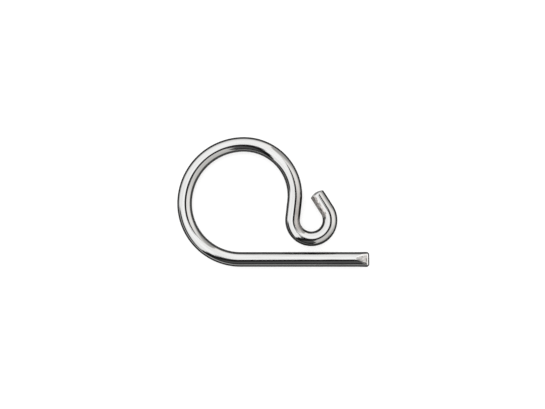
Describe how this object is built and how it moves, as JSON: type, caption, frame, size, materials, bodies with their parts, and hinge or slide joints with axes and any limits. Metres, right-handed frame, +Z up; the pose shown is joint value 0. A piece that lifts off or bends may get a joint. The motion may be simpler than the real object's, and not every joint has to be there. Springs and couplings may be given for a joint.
{
  "type": "hitch r clip pin",
  "caption": "Spring wire R clip: a straight leg with a pressed tip, a round spring loop and a hook that snaps over a drilled shaft.",
  "frame": {"origin": "on the surface that the clip lies on, under the middle of its outline", "axes": "+X along the straight leg towards its tip, +Y in the plane of the clip from the leg over the loop, +Z up from the surface that it lies on"},
  "size_m": [0.0522, 0.0354, 0.004],
  "materials": {
    "wire": "bright plated spring wire, smooth, with faint lines along its length from drawing"
  },
  "bodies": {
    "root": {"r_clip": "wire"}
  },
  "joints": []
}
